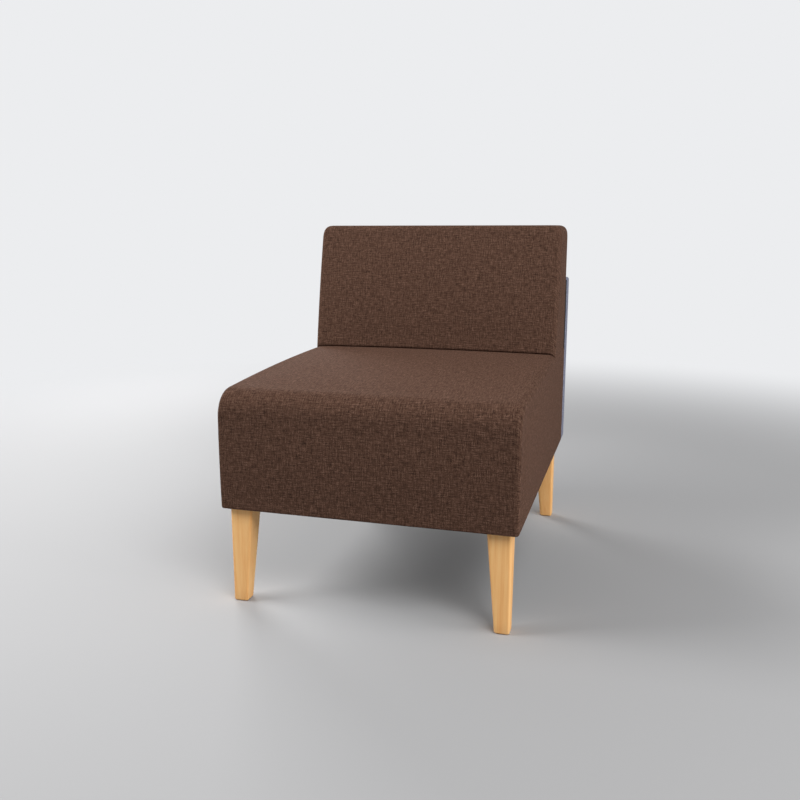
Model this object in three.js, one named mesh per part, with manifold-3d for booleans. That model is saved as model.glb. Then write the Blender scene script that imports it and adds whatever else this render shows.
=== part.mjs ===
import * as THREE from 'three';
import { mergeVertices } from 'three/addons/utils/BufferGeometryUtils.js';
import Module from 'manifold-3d';

const wasm = await Module();
wasm.setup();

// Slipper chair in millimetres, +Z up, facing -Y. While it is built, x = 0 is the centre line, y = 0
// the seat's front face and z = 0 the floor. At the end the footprint is centred on the origin.

// Seat, outer form
const seatWidth = 602;
const seatDepth = 760;
const seatUnderside = 202;
const seatFrontTop = 446;
const seatRearTop = 458;
const seatCrown = 12;
const seatFrontSwell = 2;
const seatSideSwell = 1;
const waterfallRadius = 40;
const seatFootRadius = 4;
const seatRearRadius = 5;
const seatPostRadius = 8;
const seatShoulderRadius = 16;

// Back cushion, outer form: a wedge whose front face leans back
const overallHeight = 762;
const backTopThickness = 168;
const backLean = 63;
const backFrontSwell = 4;
const backFootRadius = 5;
const backTopFrontRadius = 18;
const backTopRearRadius = 14;
const backShoulderRadius = 21;
const backPostRadius = 12;
const backRearRadius = 14;

// Rear panel, outer form
const panelTop = 630;
const panelRadius = 6;

// Cloth and padding
const gap = 0.3;
const coverThickness = 1.6;
const hemWidth = 28;
const sidePadding = 10;
const panelPadding = 5;
const dustThickness = 0.8;
const dustMargin = 9;

// Seat frame
const railThickness = 20;
const railHeight = 130;
const crossRailHeight = 60;
const blockReach = 95;
const blockHeight = 30;

// Webbing
const longStrapCount = 4;
const crossStrapCount = 5;
const strapWidth = 60;
const strapThickness = 1.8;
const strapMargin = 4;

// Panel frame and back board
const panelTimberDepth = 31;
const panelTimberWidth = 45;
const frontBoardThickness = 6;
const rearBoardThickness = 4;
const panelBoardMargin = 6;
const backBoardThickness = 12;
const backBoardSetback = 3;
const backBoardFootMargin = 12;

// Legs and glides
const legTopSize = 46.5;
const legBottomSize = 29.5;
const legCornerRadius = 4;
const legFootChamfer = 1.5;
const legSideInset = 14;
const legFrontInset = 14;
const glideRadius = 11;
const glideHeight = 3.5;
const glideChamfer = 1;
const glideNailRadius = 1.4;
const glideNailLength = 15;
const nailTip = 3;

// Fasteners: radii of shank, tee nut and hexagon head of the two bolt sizes, and where they stand
const largeBolt = { shank: 4, barrel: 5.6, flange: 10, head: 7.2, headHeight: 5.3 };
const smallBolt = { shank: 3, barrel: 4.5, flange: 8.5, head: 5.6, headHeight: 4 };
const nutFlangeThickness = 1.6;
const nutBarrelLength = 9;
const threadClearance = 0.3;
const holeClearance = 0.6;
const legBoltInset = 31;
const legBoltDepth = 38;
const woodScrewTip = 5;
const boltStandOut = 2;
const panelBoltDrop = 38;
const panelBoltShare = 0.6;
const backBoltShare = 0.53;

// Steps of the lofts and turned pieces
const shoulderShares = [0, 0.16, 0.32, 0.5, 0.7, 1];
const capShares = [0.86, 0.5];
const roundSteps = 16;
const crownFallShare = 0.25;
const footDropShare = 0.35;
const filletLimitShare = 0.45;
const leastRadius = 0.5;
const hexagonSides = 6;
const overrun = 5;
const mergeTolerance = 1e-4;

// Heights and depths worked out from the sizes above
const half = seatWidth / 2;
const clearSeatDepth = seatDepth - backTopThickness - backLean;
const dustTop = seatUnderside - gap;
const legTop = dustTop - dustThickness - gap;
const legFoot = glideHeight + gap;
const frameBottom = seatUnderside + coverThickness + gap;
const frameTop = frameBottom + railHeight;
const frameHalfWidth = half - coverThickness - sidePadding - 2 * gap;
const frameFront = coverThickness + sidePadding + 2 * gap;
const frameRear = seatDepth - coverThickness - gap;
const strapLevel = frameTop + gap + strapThickness / 2;
const strapWave = (strapThickness + gap) / 2;
const foamBottom = strapLevel + strapThickness / 2 + strapWave + gap;
const panelFront = seatDepth + gap;
const panelBoardFront = panelFront + coverThickness + gap;
const panelFrameFront = panelBoardFront + frontBoardThickness + gap;
const panelFrameRear = panelFrameFront + panelTimberDepth;
const rearBoardRear = panelFrameRear + gap + rearBoardThickness;
const panelRear = rearBoardRear + panelPadding + coverThickness + 2 * gap;
const backBoardRear = seatDepth - coverThickness - gap;
const backBoardFront = backBoardRear - backBoardThickness;
const panelBoltHeight = frameTop - panelBoltDrop;
const panelInnerTop = panelTop - coverThickness - gap;
const backBoltHeight = panelInnerTop - panelTimberWidth / 2;

// Materials
const finish = (color, roughness, metalness = 0) =>
  new THREE.MeshStandardMaterial({ color, roughness, metalness });
const brownCloth = finish(0x5c4437, 0.95);
const blueCloth = finish(0x66708f, 0.95);
const beech = finish(0xd9a870, 0.5);
const softwood = finish(0xd8bd8e, 0.8);
const plywood = finish(0xc9a878, 0.75);
const foam = finish(0xe8e0c4, 1);
const webbing = finish(0x2c2b2a, 0.9);
const blackCloth = finish(0x1b1b1c, 1);
const zincSteel = finish(0xb4b7bb, 0.35, 1);
const blackNylon = finish(0x18181a, 0.6);

// A closed solid from any geometry: shared corners are merged, collapsed triangles dropped, and a form
// that comes out inside out, as a mirrored one does, is turned the right way
function solid(geometry) {
  const bare = new THREE.BufferGeometry();
  bare.setAttribute('position', geometry.getAttribute('position').clone());
  if (geometry.index) {
    bare.setIndex(geometry.index.clone());
  }
  const merged = mergeVertices(bare, mergeTolerance);
  const points = merged.getAttribute('position').array;
  const index = merged.index.array;
  const triangles = [];
  for (let i = 0; i < index.length; i += 3) {
    const [a, b, c] = [index[i], index[i + 1], index[i + 2]];
    if (a !== b && b !== c && c !== a) {
      triangles.push(a, b, c);
    }
  }
  if (signedVolume(points, triangles) < 0) {
    triangles.reverse();
  }
  return new wasm.Manifold(new wasm.Mesh({
    numProp: 3,
    vertProperties: Float32Array.from(points),
    triVerts: Uint32Array.from(triangles),
  }));
}

function signedVolume(points, triangles) {
  const corner = (k) => new THREE.Vector3().fromArray(points, 3 * triangles[k]);
  let volume = 0;
  for (let i = 0; i < triangles.length; i += 3) {
    volume += corner(i).dot(corner(i + 1).cross(corner(i + 2))) / 6;
  }
  return volume;
}

function geometryOf(body) {
  const mesh = body.getMesh();
  const geometry = new THREE.BufferGeometry();
  geometry.setAttribute('position', new THREE.BufferAttribute(Float32Array.from(mesh.vertProperties), 3));
  geometry.setIndex(Array.from(mesh.triVerts));
  geometry.computeVertexNormals();
  return geometry;
}

const subtractAll = (body, cuts) => cuts.reduce((rest, cut) => rest.subtract(cut), body);

function block([x0, x1], [y0, y1], [z0, z1]) {
  const box = new THREE.BoxGeometry(x1 - x0, y1 - y0, z1 - z0);
  return solid(box.translate((x0 + x1) / 2, (y0 + y1) / 2, (z0 + z1) / 2));
}

// A plate from an outline in the XY plane, standing on z0
function plate(shape, z0, thickness) {
  const geometry = new THREE.ExtrudeGeometry(shape, {
    depth: thickness,
    bevelEnabled: false,
    curveSegments: roundSteps / 4,
  });
  return geometry.translate(0, 0, z0);
}

function roundedRectangle(x0, x1, y0, y1, radius) {
  const shape = new THREE.Shape();
  shape.absarc(x1 - radius, y0 + radius, radius, -Math.PI / 2, 0);
  shape.absarc(x1 - radius, y1 - radius, radius, 0, Math.PI / 2);
  shape.absarc(x0 + radius, y1 - radius, radius, Math.PI / 2, Math.PI);
  shape.absarc(x0 + radius, y0 + radius, radius, Math.PI, 1.5 * Math.PI);
  shape.closePath();
  return shape;
}

// A turned piece: [radius, height] pairs round the Z axis, from z = 0 up, placed at a point
function turned(profile, [x, y, z] = [0, 0, 0]) {
  const lathe = new THREE.LatheGeometry(profile.map(([r, h]) => new THREE.Vector2(r, h)), roundSteps);
  return lathe.rotateX(Math.PI / 2).translate(x, y, z);
}

const rod = (radius, length, at) => solid(turned([[0, 0], [radius, 0], [radius, length], [0, length]], at));

// The same, with its axis along +Y from the point
function turnedAlongY(profile, [x, y, z]) {
  return turned(profile).rotateX(-Math.PI / 2).translate(x, y, z);
}

const rodAlongY = (radius, length, at) =>
  solid(turnedAlongY([[0, 0], [radius, 0], [radius, length], [0, length]], at));

// Closed loft through rings of equally many points, with a fan to a pole at each end
function loft(rings, startPole, endPole) {
  const count = rings[0].length;
  const points = [...rings.flat(), startPole, endPole];
  const start = points.length - 2;
  const end = points.length - 1;
  const index = [];
  for (let j = 0; j < count; j++) {
    const k = (j + 1) % count;
    index.push(start, k, j);
    for (let i = 0; i + 1 < rings.length; i++) {
      const low = i * count;
      const high = low + count;
      index.push(low + j, low + k, high + k, low + j, high + k, high + j);
    }
    const last = (rings.length - 1) * count;
    index.push(end, last + j, last + k);
  }
  const geometry = new THREE.BufferGeometry().setFromPoints(points);
  geometry.setIndex(index);
  return geometry;
}

// Moves each side of a convex anticlockwise outline inwards by its own distance
function insetCorners(corners, insets) {
  const count = corners.length;
  return corners.map((corner, k) => {
    const before = corners[(k + count - 1) % count];
    const after = corners[(k + 1) % count];
    const arriving = corner.clone().sub(before).normalize();
    const leaving = after.clone().sub(corner).normalize();
    const inArriving = new THREE.Vector2(-arriving.y, arriving.x);
    const inLeaving = new THREE.Vector2(-leaving.y, leaving.x);
    const mitre = inArriving.dot(inLeaving);
    const [e, f] = [insets[(k + count - 1) % count], insets[k]];
    return corner.clone()
      .addScaledVector(inArriving, (e - mitre * f) / (1 - mitre * mitre))
      .addScaledVector(inLeaving, (f - mitre * e) / (1 - mitre * mitre));
  });
}

// Outline with rounded corners and swelling sides. Corner k is followed by side k.
function roundedOutline(corners, radii, cornerSteps, sideSteps, swells) {
  const count = corners.length;
  const arcs = corners.map((corner, k) => {
    const before = corners[(k + count - 1) % count];
    const after = corners[(k + 1) % count];
    const arriving = corner.clone().sub(before);
    const leaving = after.clone().sub(corner);
    const room = filletLimitShare * Math.min(arriving.length(), leaving.length());
    arriving.normalize();
    leaving.normalize();
    const turn = Math.acos(THREE.MathUtils.clamp(arriving.dot(leaving), -1, 1));
    const radius = Math.min(radii[k], room / Math.tan(turn / 2));
    const inward = new THREE.Vector2(-arriving.y, arriving.x);
    const centre = corner.clone()
      .addScaledVector(arriving, -radius * Math.tan(turn / 2))
      .addScaledVector(inward, radius);
    return Array.from({ length: cornerSteps[k] + 1 }, (_, i) => {
      const angle = turn * i / cornerSteps[k];
      return centre.clone()
        .addScaledVector(arriving, radius * Math.sin(angle))
        .addScaledVector(inward, -radius * Math.cos(angle));
    });
  });
  const outline = [];
  arcs.forEach((arc, k) => {
    outline.push(...arc);
    const from = arc[arc.length - 1];
    const to = arcs[(k + 1) % count][0];
    const along = to.clone().sub(from).normalize();
    const outward = new THREE.Vector2(along.y, -along.x);
    for (let i = 1; i < sideSteps[k]; i++) {
      const share = i / sideSteps[k];
      outline.push(from.clone().lerp(to, share).addScaledVector(outward, swells[k] * crown(share)));
    }
  });
  return outline;
}

// How far a crowned side stands out: nothing at its ends, all of it in the middle
const crown = (share) => 1 - (2 * share - 1) ** 2;

// How far a rounded edge has drawn in at a distance from the side face
const drawnIn = (radius, distance) =>
  (distance < radius ? radius - Math.sqrt(radius ** 2 - (radius - distance) ** 2) : 0);

// Section of a soft block in the YZ plane at x. Its corners run bottom front, bottom rear, top rear
// and top front, so its sides run bottom, rear, top and front.
function softSection(form, inset, x, halfWidth) {
  const rise = 1 - (x / halfWidth) ** 2;
  const distance = halfWidth - Math.abs(x);
  const corners = form.corners.map(([y, z]) => new THREE.Vector2(y, z));
  const insets = form.sideRadii.map((radius) => inset + drawnIn(Math.max(radius - inset, 0), distance));
  const radii = form.radii.map((radius) => Math.max(radius - inset, leastRadius));
  const swells = form.swells.map((swell) => swell * (1 - crownFallShare * (1 - rise)));
  return roundedOutline(insetCorners(corners, insets), radii, form.cornerSteps, form.sideSteps, swells);
}

// Soft block lofted across its width, drawn in towards its side faces. A positive inset gives the
// space inside a cover, and a negative one the form grown outwards.
function softBlock(form, inset = 0) {
  const halfWidth = form.halfWidth - inset;
  const shoulder = Math.max(...form.sideRadii) - inset;
  const near = shoulderShares.map((share) => halfWidth - shoulder * share);
  const reach = halfWidth - shoulder;
  const middle = Array.from({ length: form.spanSteps - 1 }, (_, i) =>
    reach * (2 * (i + 1) / form.spanSteps - 1));
  const places = [...near.map((x) => -x), ...middle, ...near.toReversed()];
  const rings = places.map((x) =>
    softSection(form, inset, x, halfWidth).map((p) => new THREE.Vector3(x, p.x, p.y)));
  const cap = (ring, side) => {
    const centre = ring.reduce((sum, p) => sum.add(p), new THREE.Vector3()).divideScalar(ring.length);
    const shrunk = (form.sideSwell ? capShares : []).map((share) => ring.map((p) => {
      const q = centre.clone().lerp(p, share);
      q.x += side * form.sideSwell * (1 - share ** 2);
      return q;
    }));
    centre.x += side * form.sideSwell;
    return { shrunk, centre };
  };
  const left = cap(rings[0], -1);
  const right = cap(rings[rings.length - 1], 1);
  return solid(loft([...left.shrunk.toReversed(), ...rings, ...right.shrunk], left.centre, right.centre));
}

const seatForm = {
  halfWidth: half,
  corners: [
    [0, seatUnderside],
    [seatDepth, seatUnderside],
    [seatDepth, seatRearTop],
    [0, seatFrontTop],
  ],
  radii: [seatFootRadius, seatRearRadius, seatRearRadius, waterfallRadius],
  sideRadii: [seatFootRadius, seatRearRadius, seatShoulderRadius, seatPostRadius],
  swells: [0, 0, seatCrown, seatFrontSwell],
  sideSwell: seatSideSwell,
  cornerSteps: [3, 2, 2, 7],
  sideSteps: [1, 1, 7, 3],
  spanSteps: 6,
};

// Height of the seat's top at a depth, beside its shoulders
function seatSideTop(y) {
  const span = seatDepth - seatRearRadius - waterfallRadius;
  const level = THREE.MathUtils.lerp(seatFrontTop, seatRearTop, y / seatDepth);
  return level + seatCrown * (1 - crownFallShare) * Math.max(crown((y - waterfallRadius) / span), 0);
}

// The cushion's foot reaches a little below the seat's top, and is cut to it, so that it lies on the
// crown and over the shoulders
const footDrop = footDropShare * seatShoulderRadius;
const backForm = {
  halfWidth: half,
  corners: [
    [clearSeatDepth, seatSideTop(clearSeatDepth) - footDrop],
    [seatDepth, seatSideTop(seatDepth) - footDrop],
    [seatDepth, overallHeight],
    [clearSeatDepth + backLean, overallHeight],
  ],
  radii: [backFootRadius, backFootRadius, backTopRearRadius, backTopFrontRadius],
  sideRadii: [backFootRadius, backRearRadius, backShoulderRadius, backPostRadius],
  swells: [0, 0, 0, backFrontSwell],
  sideSwell: seatSideSwell,
  cornerSteps: [2, 2, 4, 5],
  sideSteps: [1, 1, 2, 5],
  spanSteps: 6,
};

const panelForm = {
  halfWidth: half,
  corners: [
    [panelFront, seatUnderside],
    [panelRear, seatUnderside],
    [panelRear, panelTop],
    [panelFront, panelTop],
  ],
  radii: [leastRadius, panelRadius, panelRadius, panelRadius],
  sideRadii: [panelRadius, panelRadius, panelRadius, panelRadius],
  swells: [0, 0, 0, 0],
  sideSwell: 0,
  cornerSteps: [1, 3, 3, 3],
  sideSteps: [1, 1, 1, 1],
  spanSteps: 1,
};

// The two sides of the chair and its four corners
const sides = [['left', -1], ['right', 1]];
const corners = [
  ['front_left', -1, 1],
  ['front_right', 1, 1],
  ['rear_left', -1, -1],
  ['rear_right', 1, -1],
];

// Places where the bolts run from the seat into the panel, and from the panel into the cushion
const panelBolts = sides.map(([side, sign]) => [side, sign * half * panelBoltShare, panelBoltHeight]);
const backBolts = sides.map(([side, sign]) => [side, sign * half * backBoltShare, backBoltHeight]);

const boltHoles = (places, bolt, y0, y1) => places.map(([, x, z]) =>
  rodAlongY(bolt.shank + holeClearance, y1 - y0 + 2 * overrun, [x, y0 - overrun, z]));

const nutSeat = (bolt, depth) => [
  [0, 0],
  [bolt.flange + gap, 0],
  [bolt.flange + gap, nutFlangeThickness + gap],
  [bolt.barrel + gap, nutFlangeThickness + gap],
  [bolt.barrel + gap, nutFlangeThickness + nutBarrelLength + gap],
  [bolt.shank + holeClearance, nutFlangeThickness + nutBarrelLength + gap],
  [bolt.shank + holeClearance, depth],
  [0, depth],
];

const chair = new THREE.Group();

function addPiece(group, name, shape, material) {
  const mesh = new THREE.Mesh(shape.isBufferGeometry ? shape : geometryOf(shape), material);
  mesh.name = name;
  group.add(mesh);
  return mesh;
}

// Seat cover: a cloth shell turned in under the frame, open in the middle of its underside
function seatCover() {
  const opening = block(
    [hemWidth - half, half - hemWidth],
    [hemWidth, seatDepth - hemWidth],
    [seatUnderside - overrun, frameBottom],
  );
  const shell = softBlock(seatForm).subtract(softBlock(seatForm, coverThickness)).subtract(opening);
  return subtractAll(shell, boltHoles(panelBolts, largeBolt, seatDepth - coverThickness, seatDepth));
}

// Everything inside the seat cover, split into foam above and padding round the frame below
const seatFilling = softBlock(seatForm, coverThickness + gap);

function seatFoam() {
  return seatFilling.subtract(block(
    [-seatWidth, seatWidth],
    [-overrun, seatDepth + overrun],
    [0, foamBottom],
  ));
}

function seatPadding() {
  const below = block([-seatWidth, seatWidth], [-overrun, frameRear], [0, foamBottom - gap]);
  const frameSpace = block(
    [-frameHalfWidth - gap, frameHalfWidth + gap],
    [frameFront - gap, seatDepth + overrun],
    [0, overallHeight],
  );
  return seatFilling.intersect(below).subtract(frameSpace);
}

// Rails with their outer edges rounded off to the inside of the cover
function addSeatFrame(group) {
  const height = [frameBottom, frameTop];
  const innerHalf = frameHalfWidth - railThickness;
  const betweenRails = [frameFront + railThickness + gap, frameRear - railThickness - gap];
  const rearRail = [frameRear - railThickness, frameRear];
  const frontRail = [frameFront, frameFront + railThickness];
  const front = block([-frameHalfWidth, frameHalfWidth], frontRail, height);
  const rear = block([-frameHalfWidth, frameHalfWidth], rearRail, height).intersect(seatFilling);
  addPiece(group, 'seat_front_rail', front, softwood);
  const boredRear = subtractAll(rear, boltHoles(panelBolts, largeBolt, ...rearRail));
  addPiece(group, 'seat_rear_rail', boredRear, softwood);
  for (const [side, sign] of sides) {
    const across = [sign * innerHalf, sign * frameHalfWidth].sort((a, b) => a - b);
    addPiece(group, `seat_${side}_rail`, block(across, betweenRails, height), softwood);
  }
  const middle = (frameFront + frameRear) / 2;
  addPiece(group, 'seat_cross_rail', block(
    [gap - innerHalf, innerHalf - gap],
    [middle - railThickness / 2, middle + railThickness / 2],
    [frameBottom, frameBottom + crossRailHeight],
  ), softwood);
}

// Where the leg in a corner has its outer corner, and where its bolt runs
function legCorner(signX, inY) {
  return [signX * (half - legSideInset), inY > 0 ? legFrontInset : seatDepth - legFrontInset];
}

function legBoltPlace(signX, inY) {
  const [x, y] = legCorner(signX, inY);
  return [x - signX * legBoltInset, y + inY * legBoltInset];
}

// Three-cornered block glued between two rails, bored for the leg's bolt and its tee nut
function cornerBlock(signX, inY) {
  const x = signX * (frameHalfWidth - railThickness - gap);
  const y = inY > 0 ? frameFront + railThickness + gap : frameRear - railThickness - gap;
  const outline = new THREE.Shape([
    new THREE.Vector2(x, y),
    new THREE.Vector2(x - signX * blockReach, y),
    new THREE.Vector2(x, y + inY * blockReach),
  ]);
  const place = legBoltPlace(signX, inY);
  const shankHole = rod(
    largeBolt.shank + holeClearance,
    blockHeight + 2 * overrun,
    [...place, frameBottom - overrun],
  );
  const barrelHole = rod(
    largeBolt.barrel + gap,
    nutBarrelLength + overrun,
    [...place, frameBottom + blockHeight - nutBarrelLength],
  );
  return solid(plate(outline, frameBottom, blockHeight)).subtract(shankHole).subtract(barrelHole);
}

// Tee nut whose flange lies on z = 0, with its barrel below
function teeNut(bolt) {
  const bore = bolt.shank + threadClearance;
  return turned([
    [bore, -nutBarrelLength],
    [bolt.barrel, -nutBarrelLength],
    [bolt.barrel, 0],
    [bolt.flange, 0],
    [bolt.flange, nutFlangeThickness],
    [bore, nutFlangeThickness],
    [bore, -nutBarrelLength],
  ]);
}

// Hexagon-head bolt along +Y, its head's front face at y = 0
function hexBolt(bolt, length) {
  const head = new THREE.CylinderGeometry(bolt.head, bolt.head, bolt.headHeight, hexagonSides);
  head.translate(0, bolt.headHeight / 2, 0);
  return solid(head).add(rodAlongY(bolt.shank, bolt.headHeight + length, [0, 0, 0]));
}

// Webbing: every strap runs over one crossing strap and under the next
const strapPlaces = (count, low, high) =>
  Array.from({ length: count }, (_, i) => THREE.MathUtils.lerp(low, high, (i + 0.5) / count));

// Strap along X in the XZ plane, from one rail to the other, flat on each rail and at each crossing
function strap(start, end, restLength, crossings, firstSign) {
  const knee = strapWidth / 2 + strapThickness / 2;
  const path = [[start, 0], [start + restLength, 0]];
  crossings.forEach((place, i) => {
    const level = (i % 2 ? -firstSign : firstSign) * strapWave;
    path.push([place - knee, level], [place + knee, level]);
  });
  path.push([end - restLength, 0], [end, 0]);
  const edge = (shift) => path.map(([x, z]) => new THREE.Vector2(x, strapLevel + z + shift));
  const outline = [...edge(-strapThickness / 2), ...edge(strapThickness / 2).reverse()];
  const ribbon = new THREE.ExtrudeGeometry(new THREE.Shape(outline), {
    depth: strapWidth,
    bevelEnabled: false,
  });
  return ribbon.translate(0, 0, -strapWidth / 2).rotateX(Math.PI / 2);
}

function addWebbing(group) {
  const innerHalf = frameHalfWidth - railThickness;
  const acrossPlaces = strapPlaces(longStrapCount, -innerHalf, innerHalf);
  const alongPlaces = strapPlaces(crossStrapCount, frameFront + railThickness, frameRear - railThickness);
  const rest = railThickness - strapMargin + gap;
  acrossPlaces.forEach((x, i) => {
    const [start, end] = [frameFront + strapMargin, frameRear - strapMargin];
    const shape = strap(start, end, rest, alongPlaces, i % 2 ? -1 : 1);
    const mesh = addPiece(group, `webbing_long_${i + 1}`, solid(shape), webbing);
    mesh.rotation.z = Math.PI / 2;
    mesh.position.x = x;
  });
  alongPlaces.forEach((y, j) => {
    const end = frameHalfWidth - strapMargin;
    const shape = strap(-end, end, rest, acrossPlaces, j % 2 ? 1 : -1);
    const mesh = addPiece(group, `webbing_cross_${j + 1}`, solid(shape), webbing);
    mesh.position.y = y;
  });
}

function dustCloth() {
  const outline = roundedRectangle(
    dustMargin - half,
    half - dustMargin,
    dustMargin,
    seatDepth - dustMargin,
    seatPostRadius,
  );
  for (const [, signX, inY] of corners) {
    const hole = new THREE.Path();
    hole.absarc(...legBoltPlace(signX, inY), largeBolt.shank + holeClearance, 0, 2 * Math.PI, true);
    outline.holes.push(hole);
  }
  return solid(plate(outline, dustTop - dustThickness, dustThickness));
}

// Leg with its outer corner at x = y = 0. The two outer faces are upright, the two inner ones taper.
function legSolid() {
  const ring = (size, z, trim) => {
    const square = [[trim, trim], [size - trim, trim], [size - trim, size - trim], [trim, size - trim]];
    const points = square.map(([x, y]) => new THREE.Vector2(x, y));
    const four = (value) => Array(4).fill(value);
    const outline = roundedOutline(points, four(legCornerRadius), four(3), four(1), four(0));
    return outline.map((p) => new THREE.Vector3(p.x, p.y, z));
  };
  const rings = [
    ring(legBottomSize, legFoot, legFootChamfer),
    ring(legBottomSize, legFoot + legFootChamfer, 0),
    ring(legTopSize, legTop, 0),
  ];
  const pole = (size, z) => new THREE.Vector3(size / 2, size / 2, z);
  const body = solid(loft(rings, pole(legBottomSize, legFoot), pole(legTopSize, legTop)));
  const boltHole = rod(
    largeBolt.shank + threadClearance,
    legBoltDepth + overrun,
    [legBoltInset, legBoltInset, legTop - legBoltDepth],
  );
  const nailHole = rod(
    glideNailRadius + threadClearance,
    glideNailLength + 2 * gap + overrun,
    [legBottomSize / 2, legBottomSize / 2, legFoot - overrun],
  );
  return body.subtract(boltHole).subtract(nailHole);
}

// Nylon glide with its nail, standing on z = 0
function glide() {
  return turned([
    [0, 0],
    [glideRadius - glideChamfer, 0],
    [glideRadius, glideChamfer],
    [glideRadius, glideHeight],
    [glideNailRadius, glideHeight],
    [glideNailRadius, glideHeight + glideNailLength - nailTip],
    [0, glideHeight + glideNailLength],
  ]);
}

// Hanger bolt: wood screw in the leg, machine thread up through the corner block's tee nut
function hangerBolt() {
  const top = frameBottom + blockHeight + gap + nutFlangeThickness + boltStandOut;
  const bottom = legTop - legBoltDepth + gap;
  return turned([
    [0, bottom],
    [largeBolt.shank, bottom + woodScrewTip],
    [largeBolt.shank, top],
    [0, top],
  ]);
}

// One set of leg, glide, bolt and tee nut for each corner: a quarter turn more at each
function addLegs(group) {
  const legShape = geometryOf(legSolid());
  const glideShape = geometryOf(solid(glide()));
  const boltShape = geometryOf(solid(hangerBolt()));
  const nutShape = geometryOf(solid(teeNut(largeBolt)));
  for (const [corner, signX, inY] of corners) {
    const set = new THREE.Group();
    set.position.set(...legCorner(signX, inY), 0);
    set.rotation.z = Math.atan2(inY, -signX) - Math.PI / 4;
    addPiece(set, `leg_${corner}`, legShape, beech);
    const foot = addPiece(set, `glide_${corner}`, glideShape, blackNylon);
    foot.position.set(legBottomSize / 2, legBottomSize / 2, 0);
    const bolt = addPiece(set, `leg_bolt_${corner}`, boltShape, zincSteel);
    bolt.position.set(legBoltInset, legBoltInset, 0);
    const nut = addPiece(set, `leg_nut_${corner}`, nutShape, zincSteel);
    nut.position.set(legBoltInset, legBoltInset, frameBottom + blockHeight + gap);
    group.add(set);
    addPiece(group, `corner_block_${corner}`, cornerBlock(signX, inY), softwood);
  }
}

// Rear panel: a timber frame between two boards, padded at the rear, in a cover open at its hidden front
function addPanel(group) {
  const inner = half - coverThickness - gap;
  const bottom = seatUnderside + coverThickness + gap;
  const depth = [panelFrameFront, panelFrameRear];
  const filling = softBlock(panelForm, coverThickness + gap);
  const allBolts = (y0, y1) => [
    ...boltHoles(panelBolts, largeBolt, y0, y1),
    ...boltHoles(backBolts, smallBolt, y0, y1),
  ];

  const opening = block(
    [hemWidth - half, half - hemWidth],
    [panelFront - overrun, panelBoardFront],
    [seatUnderside + hemWidth, panelTop - hemWidth],
  );
  const shell = softBlock(panelForm).subtract(softBlock(panelForm, coverThickness)).subtract(opening);
  const coverBolts = allBolts(panelFront, panelFront + coverThickness);
  addPiece(group, 'panel_cover', subtractAll(shell, coverBolts), blueCloth);

  const board = (y0, y1) => filling.intersect(block(
    [panelBoardMargin - inner, inner - panelBoardMargin],
    [y0, y1],
    [bottom + panelBoardMargin, panelInnerTop - panelBoardMargin],
  ));
  const frontBoard = board(panelBoardFront, panelBoardFront + frontBoardThickness);
  const boredBoard = subtractAll(frontBoard, allBolts(panelFront, panelFrameFront));
  addPiece(group, 'panel_front_board', boredBoard, plywood);
  addPiece(group, 'panel_rear_board', board(panelFrameRear + gap, rearBoardRear), plywood);
  addPiece(group, 'panel_padding', filling.intersect(
    block([-half, half], [rearBoardRear + gap, panelRear], [0, overallHeight]),
  ), foam);

  for (const [side, sign] of sides) {
    const across = [sign * (inner - panelTimberWidth), sign * inner].sort((a, b) => a - b);
    const upright = block(across, depth, [bottom, panelInnerTop]).intersect(filling);
    addPiece(group, `panel_${side}_upright`, upright, softwood);
  }
  const railHalf = inner - panelTimberWidth - gap;
  const rail = (middle) => block(
    [-railHalf, railHalf],
    depth,
    [middle - panelTimberWidth / 2, middle + panelTimberWidth / 2],
  );
  addPiece(group, 'panel_bottom_rail', rail(bottom + panelTimberWidth / 2), softwood);
  const nutSeats = panelBolts.map(([, x, z]) =>
    solid(turnedAlongY(nutSeat(largeBolt, panelTimberDepth + overrun), [0, 0, 0]).rotateX(Math.PI)
      .translate(x, panelFrameRear + gap, z)));
  addPiece(group, 'panel_middle_rail', subtractAll(rail(panelBoltHeight), nutSeats), softwood);
  const headSeats = backBolts.map(([, x, z]) =>
    rodAlongY(smallBolt.head + gap, smallBolt.headHeight + 2 * gap + overrun,
      [x, panelFrameRear - smallBolt.headHeight - 2 * gap, z]));
  const topRail = subtractAll(rail(backBoltHeight), boltHoles(backBolts, smallBolt, ...depth));
  addPiece(group, 'panel_top_rail', subtractAll(topRail, headSeats), softwood);
}

// Back cushion: cover, foam wedge and the board at its rear, all cut to lie on the seat
function backBoard() {
  const margin = coverThickness + gap + backRearRadius + backBoardSetback;
  const outline = roundedRectangle(
    margin - half,
    half - margin,
    seatSideTop(seatDepth) + coverThickness + backBoardFootMargin,
    overallHeight - margin,
    backRearRadius,
  );
  const upright = plate(outline, 0, backBoardThickness).rotateX(Math.PI / 2);
  return solid(upright.translate(0, backBoardRear, 0));
}

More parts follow.
